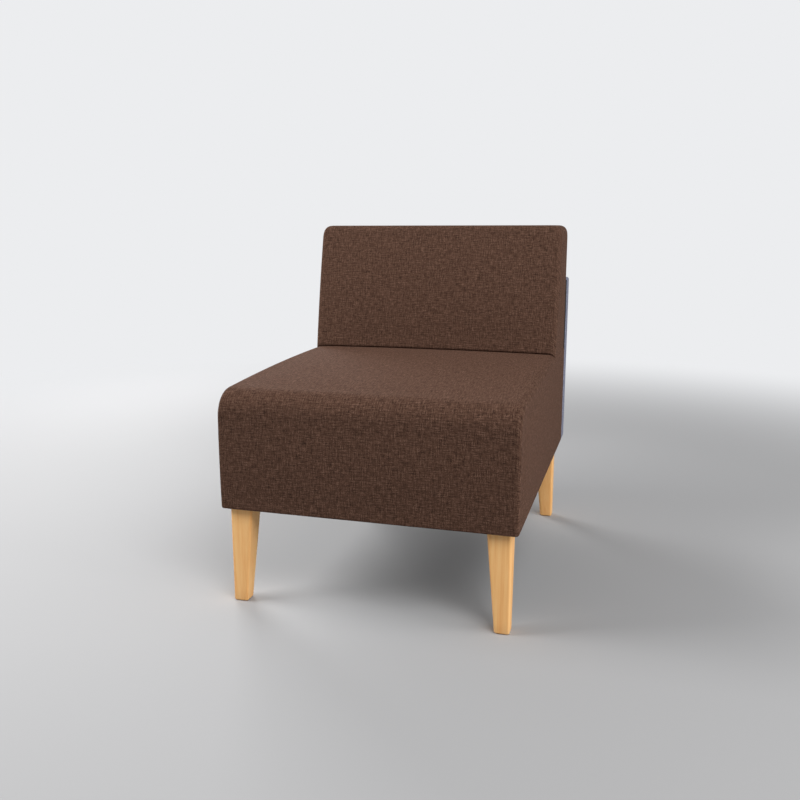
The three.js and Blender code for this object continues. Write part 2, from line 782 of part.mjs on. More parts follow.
function addBackCushion(group) {
  const outside = softBlock(backForm).subtract(softBlock(seatForm, -gap));
  const inside = softBlock(backForm, coverThickness).subtract(softBlock(seatForm, -gap - coverThickness));
  const rearHoles = boltHoles(backBolts, smallBolt, backBoardRear, seatDepth);
  addPiece(group, 'back_cover', subtractAll(outside.subtract(inside), rearHoles), brownCloth);

  const nutSeats = backBolts.map(([, x, z]) =>
    solid(turnedAlongY(nutSeat(smallBolt, backBoardThickness + overrun), [x, backBoardFront - gap, z])));
  const board = backBoard();
  addPiece(group, 'back_board', subtractAll(board, nutSeats), plywood);

  const margin = coverThickness + 2 * gap;
  const wedge = softBlock(backForm, coverThickness + gap).subtract(softBlock(seatForm, -margin));
  const boardBox = board.boundingBox();
  const pocket = block(
    [boardBox.min[0] - gap, boardBox.max[0] + gap],
    [backBoardFront - gap, seatDepth],
    [boardBox.min[2] - gap, boardBox.max[2] + gap],
  );
  addPiece(group, 'back_foam', wedge.subtract(pocket), foam);
}

// Bolts from the seat's rear rail into the panel, and from the panel into the cushion's board
function addPanelBolts(group) {
  const headFront = frameRear - railThickness - gap - largeBolt.headHeight;
  const largeLength = panelFrameRear - boltStandOut - headFront - largeBolt.headHeight;
  const largeShape = geometryOf(hexBolt(largeBolt, largeLength));
  const largeNut = geometryOf(solid(teeNut(largeBolt)));
  for (const [side, x, z] of panelBolts) {
    addPiece(group, `panel_bolt_${side}`, largeShape, zincSteel).position.set(x, headFront, z);
    const nut = addPiece(group, `panel_nut_${side}`, largeNut, zincSteel);
    nut.rotation.x = -Math.PI / 2;
    nut.position.set(x, panelFrameRear - nutFlangeThickness, z);
  }

  const headRear = panelFrameRear - gap;
  const smallLength = headRear - smallBolt.headHeight - backBoardFront - nutFlangeThickness;
  const smallShape = geometryOf(hexBolt(smallBolt, smallLength));
  const smallNut = geometryOf(solid(teeNut(smallBolt)));
  for (const [side, x, z] of backBolts) {
    const bolt = addPiece(group, `back_bolt_${side}`, smallShape, zincSteel);
    bolt.rotation.x = Math.PI;
    bolt.position.set(x, headRear, z);
    const nut = addPiece(group, `back_nut_${side}`, smallNut, zincSteel);
    nut.rotation.x = Math.PI / 2;
    nut.position.set(x, backBoardFront + nutFlangeThickness, z);
  }
}

addPiece(chair, 'seat_cover', seatCover(), brownCloth);
addPiece(chair, 'seat_foam', seatFoam(), foam);
addPiece(chair, 'seat_padding', seatPadding(), foam);
addPiece(chair, 'dust_cloth', dustCloth(), blackCloth);
addSeatFrame(chair);
addWebbing(chair);
addLegs(chair);
addPanel(chair);
addBackCushion(chair);
addPanelBolts(chair);

const footprint = new THREE.Box3().setFromObject(chair).getCenter(new THREE.Vector3());
chair.position.set(-footprint.x, -footprint.y, 0);

export default chair;
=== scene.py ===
import math

import bpy
import numpy as np
from mathutils import Matrix, Vector


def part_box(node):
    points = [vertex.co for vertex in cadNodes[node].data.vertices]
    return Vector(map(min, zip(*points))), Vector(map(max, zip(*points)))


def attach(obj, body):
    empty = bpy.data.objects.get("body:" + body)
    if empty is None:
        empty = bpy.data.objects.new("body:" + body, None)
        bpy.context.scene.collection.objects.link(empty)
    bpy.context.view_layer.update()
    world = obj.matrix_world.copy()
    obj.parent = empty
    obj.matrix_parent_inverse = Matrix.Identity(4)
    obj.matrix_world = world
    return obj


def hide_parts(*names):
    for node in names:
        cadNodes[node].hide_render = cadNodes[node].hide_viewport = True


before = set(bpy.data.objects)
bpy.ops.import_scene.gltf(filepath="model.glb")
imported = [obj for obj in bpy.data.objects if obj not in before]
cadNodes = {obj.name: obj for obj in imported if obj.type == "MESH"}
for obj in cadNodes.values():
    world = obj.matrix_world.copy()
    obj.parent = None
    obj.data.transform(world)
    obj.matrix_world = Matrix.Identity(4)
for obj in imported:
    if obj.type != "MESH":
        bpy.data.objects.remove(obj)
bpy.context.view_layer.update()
scene = bpy.context.scene
print("frame loaded,", len(cadNodes), "CAD pieces")

mm = 0.001


def newObject(name, data):
    made = bpy.data.objects.new(name, data)
    scene.collection.objects.link(made)
    return made


def newPiece(name, points, faces=(), edges=()):
    mesh = bpy.data.meshes.new(name)
    mesh.from_pydata(points, edges, faces)
    return newObject(name, mesh)


def setAll(target, settings):
    for name, value in settings.items():
        setattr(target, name, value)


def shadeSmooth(mesh):
    mesh.polygons.foreach_set("use_smooth", [True] * len(mesh.polygons))


# Turns the live modifiers into a plain mesh
def settle(piece):
    graph = bpy.context.evaluated_depsgraph_get()
    mesh = bpy.data.meshes.new_from_object(piece.evaluated_get(graph), preserve_all_data_layers=True,
                                           depsgraph=graph)
    piece.modifiers.clear()
    piece.data = mesh
    return mesh


def finished(piece, material, modifiers):
    for kind, settings in modifiers:
        setAll(piece.modifiers.new(kind, kind), settings)
    mesh = settle(piece)
    mesh.materials.clear()
    mesh.materials.append(material)
    shadeSmooth(mesh)


# Hands a piece over: hangs it under the root body, hides the CAD nodes that it stands for, and prints its
# face count
def handOver(piece, nodes=()):
    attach(piece, "root")
    if nodes:
        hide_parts(*nodes)
    print(piece.name, "made,", len(piece.data.polygons), "faces")


def middleOf(node):
    low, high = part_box(node)
    return (low + high) / 2


# Camera at the photograph's place: fitted to the chair's straight edges
cameraView = {
    "place": (0.50674, -1.87544, 0.75999),
    "turn": 16.303,
    "lookDown": 11.55,
    "roll": -0.10,
    "lens": 38.248,
    "farthest": 60,
}


def addCamera(view):
    data = bpy.data.cameras.new("photoCamera")
    data.lens = view["lens"]
    data.clip_end = view["farthest"]
    camera = newObject("photoCamera", data)
    camera.matrix_world = (
        Matrix.Translation(view["place"])
        @ Matrix.Rotation(math.radians(view["turn"]), 4, "Z")
        @ Matrix.Rotation(math.radians(90 - view["lookDown"]), 4, "X")
        @ Matrix.Rotation(math.radians(view["roll"]), 4, "Z")
    )
    scene.camera = camera


addCamera(cameraView)


# Small helpers for node trees, used by materials and Geometry Nodes alike

def addNode(tree, kind, values=None, **settings):
    node = tree.nodes.new(kind)
    setAll(node, settings)
    for key, value in (values or {}).items():
        if hasattr(value, "is_output"):
            tree.links.new(value, node.inputs[key])
        else:
            node.inputs[key].default_value = value
    return node


def output(tree, kind, values=None, **settings):
    return addNode(tree, kind, values, **settings).outputs[0]


def calc(tree, operation, *values):
    return output(tree, "ShaderNodeMath", dict(enumerate(values)), operation=operation)


def vectorCalc(tree, operation, *values):
    return output(tree, "ShaderNodeVectorMath", dict(enumerate(values)), operation=operation)


def times(tree, first, second):
    return calc(tree, "MULTIPLY", first, second)


def timesPlus(tree, first, second, third):
    return calc(tree, "MULTIPLY_ADD", first, second, third)


# A value that swings about one half is scaled and laid round another value
def swing(tree, value, amount, around):
    return timesPlus(tree, calc(tree, "SUBTRACT", value, 0.5), amount, around)


def smoothStep(tree, value, start, end, first=0.0, last=1.0):
    values = {0: value, 1: start, 2: end, 3: first, 4: last}
    return output(tree, "ShaderNodeMapRange", values, interpolation_type="SMOOTHSTEP")


def vectorOf(tree, x, y, z=0.0):
    return output(tree, "ShaderNodeCombineXYZ", {0: x, 1: y, 2: z})


def noise(tree, vector, scale, detail, roughness=0.5, field="Fac"):
    values = {"Vector": vector, "Scale": scale, "Detail": detail, "Roughness": roughness}
    return addNode(tree, "ShaderNodeTexNoise", values).outputs[field]


def blendColours(tree, factor, first, second):
    return addNode(tree, "ShaderNodeMix", {0: factor, 6: first, 7: second}, data_type="RGBA").outputs[2]


def blendValues(tree, factor, first, second):
    return output(tree, "ShaderNodeMix", {0: factor, 2: first, 3: second}, data_type="FLOAT")


def colourRamp(tree, factor, places, colours):
    ramp = addNode(tree, "ShaderNodeValToRGB", {0: factor})
    elements = ramp.color_ramp.elements
    while len(elements) < len(places):
        elements.new(0.5)
    for element, place, colour in zip(elements, places, colours):
        element.position = place
        element.color = colour
    return ramp.outputs[0]


def linear(red, green, blue):
    channels = [c / 255 for c in (red, green, blue)]
    values = [c / 12.92 if c <= 0.04045 else ((c + 0.055) / 1.055) ** 2.4 for c in channels]
    return (*values, 1.0)


# Tones run from dark to light
def toneRamp(tree, factor, look):
    return colourRamp(tree, factor, look["stops"], [linear(*tone) for tone in look["tones"]])


def newMaterial(name, sockets):
    material = bpy.data.materials.new(name)
    material.use_nodes = True
    tree = material.node_tree
    shader = tree.nodes["Principled BSDF"]
    for key, value in sockets.items():
        shader.inputs[key].default_value = value
    return material, tree, shader


def addBump(tree, shader, height, distance, strength):
    bump = output(tree, "ShaderNodeBump", {"Height": height, "Distance": distance, "Strength": strength})
    tree.links.new(bump, shader.inputs["Normal"])


def objectPlace(tree, scale=(1, 1, 1)):
    place = addNode(tree, "ShaderNodeTexCoord").outputs["Object"]
    return output(tree, "ShaderNodeMapping", {"Vector": place, "Scale": scale})


# Melange cloth: a plain weave of slubby yarn, drawn on the piece's own map in metres
brownCloth = {
    "pitch": 1.8 * mm,
    "wander": 0.4 * mm,
    "wanderScale": 45.0,
    "yarnRun": 74.0,
    "slices": (3.0, 9.0),
    "slub": 0.56,
    "fleck": 0.16,
    "crossing": 0.43,
    "fibre": 0.22,
    "fibreScale": 1500.0,
    "stops": (0.30, 0.50, 0.74),
    "tones": [(51, 37, 29), (89, 64, 52), (128, 98, 83)],
    "dip": 0.6,
    # painted shade between the threads: the colour's scale in the gaps, and its rise onto the raised
    # threads
    "gapShade": 0.66,
    "threadShade": 0.42,
    "patch": 0.08,
    "patchScale": 14.0,
    "bump": 0.3 * mm,
    "bumpStrength": 0.8,
    "slubRelief": 0.8,
    "fibreRelief": 0.25,
    "sockets": {
        "Roughness": 0.95,
        "Specular IOR Level": 0.06,
        "Sheen Weight": 0.06,
        "Sheen Roughness": 0.45,
        "Sheen Tint": linear(205, 158, 135),
    },
}
blueCloth = {
    **brownCloth,
    "tones": [(98, 101, 118), (134, 137, 155), (176, 179, 195)],
    "sockets": {**brownCloth["sockets"], "Sheen Tint": linear(204, 206, 218)},
}


def clothMaterial(name, look):
    material, tree, shader = newMaterial(name, look["sockets"])
    place = output(tree, "ShaderNodeUVMap", uv_map="clothMap")
    drift = noise(tree, place, look["wanderScale"], 1.0, field="Color")
    offset = vectorCalc(tree, "SUBTRACT", drift, (0.5, 0.5, 0.5))
    moved = vectorCalc(tree, "MULTIPLY_ADD", offset, (look["wander"], look["wander"], 0.0), place)
    u, v = addNode(tree, "ShaderNodeSeparateXYZ", {0: moved}).outputs[:2]
    warp, weft = [calc(tree, "DIVIDE", way, look["pitch"]) for way in (u, v)]
    warpNumber, weftNumber = [calc(tree, "FLOOR", way) for way in (warp, weft)]
    warpRound, weftRound = [calc(tree, "SINE", times(tree, calc(tree, "FRACT", way), math.pi))
                            for way in (warp, weft)]
    over = calc(tree, "FLOORED_MODULO", calc(tree, "ADD", warpNumber, weftNumber), 2.0)

    # every thread has its own slow change of shade along its run, and every crossing its own fleck
    warpMiddle, weftMiddle = [calc(tree, "ADD", number, 0.5) for number in (warpNumber, weftNumber)]
    uRun, vRun = [times(tree, way, look["yarnRun"]) for way in (u, v)]
    warpTone = noise(tree, vectorOf(tree, warpMiddle, vRun, look["slices"][0]), 1.0, 0.0)
    weftTone = noise(tree, vectorOf(tree, uRun, weftMiddle, look["slices"][1]), 1.0, 0.0)
    threads = blendValues(tree, swing(tree, over, look["crossing"], 0.5), weftTone, warpTone)
    fleck = addNode(tree, "ShaderNodeTexWhiteNoise", {"Vector": vectorOf(tree, warpNumber, weftNumber)})
    flecked = swing(tree, fleck.outputs["Value"], look["fleck"], 0.5)
    tone = swing(tree, threads, look["slub"], flecked)
    weftHeight, warpHeight = [times(tree, own, timesPlus(tree, other, look["dip"], 1 - look["dip"]))
                              for own, other in ((weftRound, warpRound), (warpRound, weftRound))]
    height = blendValues(tree, over, weftHeight, warpHeight)

    fibres = noise(tree, place, look["fibreScale"], 2.0, 0.6)
    patches = noise(tree, place, look["patchScale"], 3.0, 0.55)
    yarn = toneRamp(tree, swing(tree, fibres, look["fibre"], tone), look)
    # painted shade: the colour darkens towards the gaps between threads, where the weave shades itself,
    # and is mottled by large random patches
    depth = timesPlus(tree, height, look["threadShade"], look["gapShade"])
    shade = times(tree, depth, swing(tree, patches, look["patch"], 1.0))
    colour = output(tree, "ShaderNodeVectorMath", {0: yarn, 3: shade}, operation="SCALE")
    tree.links.new(colour, shader.inputs["Base Color"])
    relief = timesPlus(tree, tone, look["slubRelief"], height)
    relief = timesPlus(tree, fibres, look["fibreRelief"], relief)
    addBump(tree, shader, relief, look["bump"], look["bumpStrength"])
    return material


brownClothMaterial = clothMaterial("brownMelangeCloth", brownCloth)
blueClothMaterial = clothMaterial("blueGreyCloth", blueCloth)


# Wood: grain along one axis, with fine pores and, for beech, short ray flecks
wood = {
    "stops": (0.33, 0.52, 0.70),
    "bend": 0.05,
    "bendScale": 9.0,
    "streak": 0.35,
    "streaksPerRing": 6,
    "streakRelief": 0.5,
    "poreLevel": 0.66,
    "bump": 0.12 * mm,
    "bumpStrength": 0.5,
}
beech = {
    **wood,
    "grain": (1, 1, 0.04),
    "tones": [(241, 177, 108), (248, 192, 125), (251, 201, 136)],
    "ringScale": 120.0,
    "poreScale": (900, 900, 45),
    "flecks": 0.175,
    "sockets": {"Roughness": 0.5, "Specular IOR Level": 0.25},
}
pineAcross = {
    **wood,
    "grain": (0.05, 1, 1),
    "tones": [(186, 142, 90), (214, 180, 128), (226, 196, 148)],
    "ringScale": 70.0,
    "poreScale": (40, 700, 700),
    "flecks": 0.0,
    "sockets": {"Roughness": 0.7, "Specular IOR Level": 0.3},
}
pineAlong = {**pineAcross, "grain": (1, 0.05, 1), "poreScale": (700, 40, 700)}
pineUpright = {**pineAcross, "grain": (1, 1, 0.05), "poreScale": (700, 700, 40)}
birchPly = {
    **pineAcross,
    "tones": [(176, 138, 94), (203, 168, 120), (216, 184, 136)],
    "ringScale": 28.0,
    "flecks": 0.1,
}


def woodMaterial(name, look):
    material, tree, shader = newMaterial(name, look["sockets"])
    grain = objectPlace(tree, look["grain"])
    bend = noise(tree, grain, look["bendScale"], 3.0, field="Color")
    bent = vectorCalc(tree, "MULTIPLY_ADD", bend, [look["bend"]] * 3, grain)
    rings = noise(tree, bent, look["ringScale"], 4.0, 0.6)
    streaks = noise(tree, bent, look["ringScale"] * look["streaksPerRing"], 2.0, 0.6)
    pores = noise(tree, objectPlace(tree, look["poreScale"]), 1.0, 1.0, 0.5)
    base = toneRamp(tree, swing(tree, streaks, look["streak"], rings), look)
    fleckMask = times(tree, calc(tree, "GREATER_THAN", pores, look["poreLevel"]), look["flecks"])
    colour = blendColours(tree, fleckMask, base, linear(*look["tones"][0]))
    tree.links.new(colour, shader.inputs["Base Color"])
    relief = timesPlus(tree, streaks, look["streakRelief"], rings)
    addBump(tree, shader, relief, look["bump"], look["bumpStrength"])
    return material


beechMaterial = woodMaterial("lacqueredBeech", beech)
pineAcrossMaterial = woodMaterial("pineAcross", pineAcross)
pineAlongMaterial = woodMaterial("pineAlong", pineAlong)
pineUprightMaterial = woodMaterial("pineUpright", pineUpright)
plyMaterial = woodMaterial("birchPly", birchPly)


# Plain stuffs: one colour with a fine grain, and a coarser change of gloss
plain = {"stops": (0.35, 0.65), "glossScale": 0.2, "glossChange": 0.16, "bumpStrength": 0.6}


def plainMaterial(name, colour, roughness, scale, contrast, bump, metallic=0.0):
    material, tree, shader = newMaterial(name, {"Roughness": roughness, "Metallic": metallic})
    place = objectPlace(tree)
    fine = noise(tree, place, scale, 3.0, 0.6)
    tones = [[min(c * factor, 1.0) for c in linear(*colour)[:3]] + [1.0]
             for factor in (1 - contrast, 1 + contrast)]
    tree.links.new(colourRamp(tree, fine, plain["stops"], tones), shader.inputs["Base Color"])
    coarse = noise(tree, place, scale * plain["glossScale"], 2.0)
    tree.links.new(swing(tree, coarse, plain["glossChange"], roughness), shader.inputs["Roughness"])
    addBump(tree, shader, fine, bump, plain["bumpStrength"])
    return material


zincMaterial = plainMaterial("zincPlatedSteel", (205, 205, 202), 0.34, 260.0, 0.10, 0.03 * mm, 1.0)
nylonMaterial = plainMaterial("blackNylon", (28, 28, 29), 0.5, 700.0, 0.12, 0.04 * mm)
foamMaterial = plainMaterial("creamFoam", (233, 224, 190), 0.95, 900.0, 0.10, 0.5 * mm)
webbingMaterial = plainMaterial("blackWebbing", (46, 45, 44), 0.85, 600.0, 0.3, 0.2 * mm)
nonwovenMaterial = plainMaterial("blackNonwoven", (34, 34, 35), 0.9, 1300.0, 0.35, 0.15 * mm)
print("materials made")


# Soft covers: lofted from sections across the chair's width, on four-sided faces. The lists in their
# settings go round a section: bottom, rear, top, front. Each corner stands where its side starts.
toRailRear = 758.1 * mm
chairPlan = {
    "half": 302 * mm,
    "front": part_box("seat_rear_rail")[1].y - toRailRear,
    "depth": 760 * mm,
    "underside": 202 * mm,
    "gap": 0.3 * mm,
    "crownFall": 0.25,
}
coverForm = {
    "half": chairPlan["half"],
    "wall": 0.0,
    "quad": 14 * mm,
    "hem": 0.0,
    "shoulderAngles": [0, 14, 28, 58, 74, 90],
    "cornerShare": 0.45,
    "leastRadius": 0.5 * mm,
    "heldEdge": 4 * mm,
    "opening": ((0, 0, 0), (0, 0, 0)),
}
topSide = 2


def fromFront(distance):
    return chairPlan["front"] + distance


def crown(share):
    return 1 - (2 * share - 1) ** 2


def drawnIn(radius, distance):
    if distance >= radius:
        return 0.0
    return radius - math.sqrt(radius ** 2 - (radius - distance) ** 2)


def smooth(value, low, high):
    share = np.clip((value - low) / (high - low), 0, 1)
    return share * share * (3 - 2 * share)


def insetCorners(corners, insets):
    moved = []
    for k, corner in enumerate(corners):
        arriving = (corner - corners[k - 1]).normalized()
        leaving = (corners[(k + 1) % 4] - corner).normalized()
        inArriving, inLeaving = arriving.orthogonal(), leaving.orthogonal()
        mitre = inArriving.dot(inLeaving)
        before, after = insets[k - 1], insets[k]
        moved.append(corner
                     + inArriving * (before - mitre * after) / (1 - mitre * mitre)
                     + inLeaving * (after - mitre * before) / (1 - mitre * mitre))
    return moved


# The four sides of one section in the YZ plane. Each runs from the middle of one rounded corner to the
# middle of the next.
def softSection(form, x):
    wall = form["wall"]
    half = form["half"] - wall
    distance = max(half - abs(x), 0.0)
    insets = [wall + drawnIn(max(radius - wall, 0.0), distance) for radius in form["sideRadii"]]
    corners = insetCorners([Vector(corner) for corner in form["corners"](x)], insets)
    arcs = []
    for k, corner in enumerate(corners):
        arriving = corner - corners[k - 1]
        leaving = corners[(k + 1) % 4] - corner
        room = form["cornerShare"] * min(arriving.length, leaving.length)
        arriving.normalize()
        leaving.normalize()
        turn = arriving.angle(leaving)
        radius = min(max(form["radii"][k] - wall, form["leastRadius"]), room / math.tan(turn / 2))
        inward = arriving.orthogonal()
        centre = corner - arriving * radius * math.tan(turn / 2) + inward * radius
        steps = 2 * form["arcSteps"][k]
        arcs.append([centre + arriving * radius * math.sin(turn * i / steps)
                     - inward * radius * math.cos(turn * i / steps) for i in range(steps + 1)])
    sides = []
    for k in range(4):
        first, second = arcs[k], arcs[(k + 1) % 4]
        firstHalf, secondHalf = form["arcSteps"][k], form["arcSteps"][(k + 1) % 4]
        start, end = first[-1], second[0]
        along = (end - start).normalized()
        outward = -along.orthogonal()
        swell = form["swells"][k] * (1 - chairPlan["crownFall"] * (x / half) ** 2)
        line = [start.lerp(end, share) + outward * swell * crown(share)
                for share in form["shares"][k][1:-1]]
        sides.append(np.array(first[firstHalf:] + line + second[:secondHalf + 1]))
    return sides


def boxCorners(front, depth, frontTop, rearTop):
    rear, low = front + depth, chairPlan["underside"]
    return lambda x: [(front, low), (rear, low), (rear, rearTop), (front, frontTop)]


def evenShares(count):
    return [i / count for i in range(count + 1)]


# Even shares between two hems, whose inner edges get a share each
def hemShares(length, firstRadius, hem, count):
    first = (hem - firstRadius) / length
    return [0.0] + [first + (1 - 2 * first) * i / (count - 2) for i in range(count - 1)] + [1.0]


# Faces in this box, which ends at the hems on the left and right, are left out of a cover
def openingBox(form, lowY, highY, lowZ, highZ):
    slack, inner = 1 * mm, form["half"] - form["hem"]
    return np.array((-inner, lowY, lowZ)) - slack, np.array((inner, highY, highZ)) + slack


# Stations across the width: close together over the shoulders, with a groove of three for the seam
def stationsOf(form):
    wall = form["wall"]
    half, shoulder = form["half"] - wall, max(form["sideRadii"]) - wall
    near = [shoulder * (1 - math.cos(math.radians(angle))) for angle in form["shoulderAngles"]]
    if not wall:
        seam, width = form["seam"]["inset"], form["seam"]["width"]
        near += [seam - width, seam, seam + width]
    if form["hem"]:
        near.append(form["hem"])
    near.sort()
    reach = half - near[-1]
    count = round(2 * reach / form["quad"])
    middle = [reach * (2 * i / count - 1) for i in range(1, count)]
    return [d - half for d in near] + middle + [half - d for d in reversed(near)]


def patchPoints(bottom, rear, top, front):
    across = np.linspace(0, 1, len(bottom))[:, None, None]
    upward = np.linspace(0, 1, len(rear))[None, :, None]
    low, high = bottom[:, None, :], top[::-1][:, None, :]
    left, right = front[::-1][None, :, :], rear[None, :, :]
    corners = ((1 - across) * (1 - upward) * bottom[0] + across * (1 - upward) * bottom[-1]
               + (1 - across) * upward * top[-1] + across * upward * top[0])
    return (1 - upward) * low + upward * high + (1 - across) * left + across * right - corners


# Returns the piece, and how free each point is to swell: not at the seams and rounded edges
def coverMesh(name, form):
    stations, seam, ease = stationsOf(form), form["seam"], form["ease"]
    half = form["half"] - form["wall"]
    sections = [softSection(form, x) for x in stations]
    runs, rises = len(sections[0][0]) - 1, len(sections[0][1]) - 1
    ringSize = 2 * (runs + rises)
    rings = np.array([np.concatenate([side[:-1] for side in sides]) for sides in sections])
    xs = np.array(stations)
    fromSide = half - np.abs(xs)

    # the seam draws the cloth in a little
    if not form["wall"]:
        closeness = np.clip(1 - np.abs(fromSide - seam["inset"]) / seam["width"], 0, 1)
        inward = rings.mean(axis=1, keepdims=True) - rings
        inward /= np.linalg.norm(inward, axis=2, keepdims=True)
        rings += inward * (closeness * seam["depth"])[:, None, None]

    points = np.concatenate([np.repeat(xs, ringSize)[:, None], rings.reshape(-1, 2)], axis=1)
    band = np.arange(len(stations) * ringSize).reshape(len(stations), ringSize)
    middleRing = rings[len(stations) // 2]
    steps = np.linalg.norm(np.roll(middleRing, -1, axis=0) - middleRing, axis=1)
    along = np.concatenate([[0], np.cumsum(steps)])

    # arc length from the nearest rounded edge, round the middle section
    starts = [0, runs, runs + rises, 2 * runs + rises, ringSize]
    free = np.zeros(ringSize)
    for k in range(4):
        first = along[starts[k] + form["arcSteps"][k]]
        last = along[starts[k + 1] - form["arcSteps"][(k + 1) % 4]]
        part = slice(starts[k], starts[k + 1])
        inside = np.minimum(along[part] - first, last - along[part])
        free[part] = form["free"][k] * smooth(inside, 0, ease)
    shoulder = max(form["sideRadii"])
    freedom = np.outer(smooth(fromSide, shoulder, shoulder + ease), free).ravel()

    opening = form["opening"]
    inOpening = ((points > opening[0]) & (points < opening[1])).all(axis=1)
    faces, maps = [], []
    for i in range(len(stations) - 1):
        for j in range(ringSize):
            quad = [(i, j), (i, j + 1), (i + 1, j + 1), (i + 1, j)]
            face = [band[a, b % ringSize] for a, b in quad]
            if inOpening[face[0]] and inOpening[face[2]]:
                continue
            faces.append(face)
            maps.append([(xs[a], along[b]) for a, b in quad])

    # both ends are closed by a puffed grid
    extra, extraFreedom = [], []
    for side, row in ((-1, band[0]), (1, band[-1])):
        closed = np.append(row, row[0])
        ends = [closed[starts[k]:starts[k + 1] + 1] for k in range(4)]
        flat = patchPoints(*[points[index][:, 1:] for index in ends])
        low, high = flat.reshape(-1, 2).min(0), flat.reshape(-1, 2).max(0)
        share = (flat - low) / (high - low)
        puff = crown(share[..., 0]) * crown(share[..., 1]) * form["sideSwell"]
        border = points[row][:, 1:]
        grid = np.zeros((runs + 1, rises + 1), int)
        grid[:, 0], grid[:, -1] = ends[0], ends[2][::-1]
        grid[0, :], grid[-1, :] = ends[3][::-1], ends[1]
        for a in range(1, runs):
            for b in range(1, rises):
                grid[a, b] = len(points) + len(extra)
                extra.append((side * (half + puff[a, b]), *flat[a, b]))
                away = np.sqrt(((border - flat[a, b]) ** 2).sum(1).min())
                extraFreedom.append(form["free"][4] * smooth(away, form["heldEdge"], ease))
        for a in range(runs):
            for b in range(rises):
                quad = [(a, b), (a + 1, b), (a + 1, b + 1), (a, b + 1)][::side]
                faces.append([grid[q] for q in quad])
                maps.append([tuple(flat[q]) for q in quad])
    points = np.concatenate([points, np.array(extra)])
    piece = newPiece(name, points.tolist(), [list(map(int, face)) for face in faces])
    layer = piece.data.uv_layers.new(name="clothMap")
    layer.data.foreach_set("uv", np.array(maps, np.float32).ravel())
    shadeSmooth(piece.data)
    return piece, np.concatenate([freedom, extraFreedom])


def readPoints(items, field):
    values = np.zeros(len(items) * 3, np.float32)
    items.foreach_get(field, values)
    return values.reshape(-1, 3).astype(float)


def writePoints(mesh, points):
    mesh.vertices.foreach_set("co", points.astype(np.float32).ravel())


# Padding: the cover is let in by its lift, then blown out again by the Cloth solver, held at its seams
padding = {
    "startIn": 0.5,
    "frames": 20,
    "solver": {
        "vertex_group_mass": "held",
        "quality": 5,
        "mass": 0.3,
        "tension_stiffness": 12.0,
        "compression_stiffness": 12.0,
        "shear_stiffness": 6.0,
        "bending_stiffness": 1.5,
        "use_pressure": True,
        "uniform_pressure_force": 4.0,
    },
}


def padOut(piece, freedom, lift):
    mesh = piece.data
    target, normals = readPoints(mesh.vertices, "co"), readPoints(mesh.vertex_normals, "vector")
    start = target - normals * (freedom * lift * padding["startIn"])[:, None]
    proxy = newObject(piece.name + "Proxy", mesh.copy())
    writePoints(proxy.data, start)
    held = proxy.vertex_groups.new(name="held")
    for number, value in enumerate(freedom):
        held.add([number], float(1 - value), "REPLACE")
    settings = proxy.modifiers.new("padding", "CLOTH").settings
    setAll(settings, padding["solver"])
    settings.effector_weights.gravity = 0
    for number in range(1, padding["frames"] + 1):
        scene.frame_set(number)
    result = proxy.evaluated_get(bpy.context.evaluated_depsgraph_get())
    moved = readPoints(result.data.vertices, "co") - start
    scene.frame_set(1)
    bpy.data.objects.remove(proxy)

    # the filling holds the cloth up, and the cap keeps the cushion's measured size
    outward = np.maximum((moved * normals).sum(1), 0)
    capped = lift * np.tanh(outward / lift)
    writePoints(mesh, start + normals * capped[:, None])
    print(piece.name, "padded, blown out up to", round(float(outward.max() / mm), 1), "mm before its cap")


clothWall = ("SOLIDIFY", {"thickness": 1.1 * mm, "offset": -1.0, "use_quality_normals": True})
refine = ("SUBSURF", {"levels": 1, "render_levels": 1, "uv_smooth": "PRESERVE_BOUNDARIES"})


# adjust shapes the piece before it is padded, and returns how free it then is
def makeCover(name, node, form, material, adjust=None):
    piece, freedom = coverMesh(name, form)
    if adjust:
        freedom = adjust(piece, freedom)
    padOut(piece, freedom, form["lift"])
    finished(piece, material, [clothWall, refine])
    handOver(piece, [node])


# Seat cover: box with a waterfall front and a crowned top, open under the frame
seatCover = {
    **coverForm,
    "frontTop": 446 * mm,
    "rearTop": 458 * mm,
    "radii": [4 * mm, 5 * mm, 5 * mm, 46 * mm],
    "sideRadii": [4 * mm, 8 * mm, 16 * mm, 8 * mm],
    "swells": [0, 0, 12 * mm, 2 * mm],
    "arcSteps": [2, 2, 2, 5],
    "hem": 28 * mm,
    "sideSwell": 1.5 * mm,
    "lift": 4.0 * mm,
    "seam": {"inset": 4.7 * mm, "width": 1.0 * mm, "depth": 0.5 * mm},
    "ease": 55 * mm,
    "free": [0, 0, 1, 1, 1],
    "restsFrom": 455 * mm,
    "restsFully": 519 * mm,
}


def seatTop(x, y):
    seat, depth = seatCover, chairPlan["depth"]
    rearRadius, waterfall = seat["radii"][2:]
    back = y - chairPlan["front"]
    level = seat["frontTop"] + (seat["rearTop"] - seat["frontTop"]) * back / depth
    span = depth - rearRadius - waterfall
    fall = 1 - chairPlan["crownFall"] * (x / seat["half"]) ** 2
    return level + seat["swells"][topSide] * fall * max(crown((back - waterfall) / span), 0.0)


# The part under the back cushion stays down
def underBack(piece, freedom):
    points = readPoints(piece.data.vertices, "co")
    onTop = points[:, 2] > seatCover["frontTop"] - seatCover["sideRadii"][topSide]
    pressed = smooth(points[:, 1], fromFront(seatCover["restsFrom"]), fromFront(seatCover["restsFully"]))
    return freedom * np.where(onTop, 1 - pressed, 1)


seatForm = {
    **seatCover,
    "corners": boxCorners(chairPlan["front"], chairPlan["depth"],
                          seatCover["frontTop"], seatCover["rearTop"]),
    "shares": [
        hemShares(chairPlan["depth"] - sum(seatCover["radii"][:2]), seatCover["radii"][0],
                  seatCover["hem"], 51),
        evenShares(17),
        evenShares(48),
        evenShares(14),
    ],
    "opening": openingBox(seatCover, fromFront(seatCover["hem"]),
                          fromFront(chairPlan["depth"] - seatCover["hem"]), 0.0, chairPlan["underside"]),
}
makeCover("seatCover", "seat_cover", seatForm, brownClothMaterial, underBack)


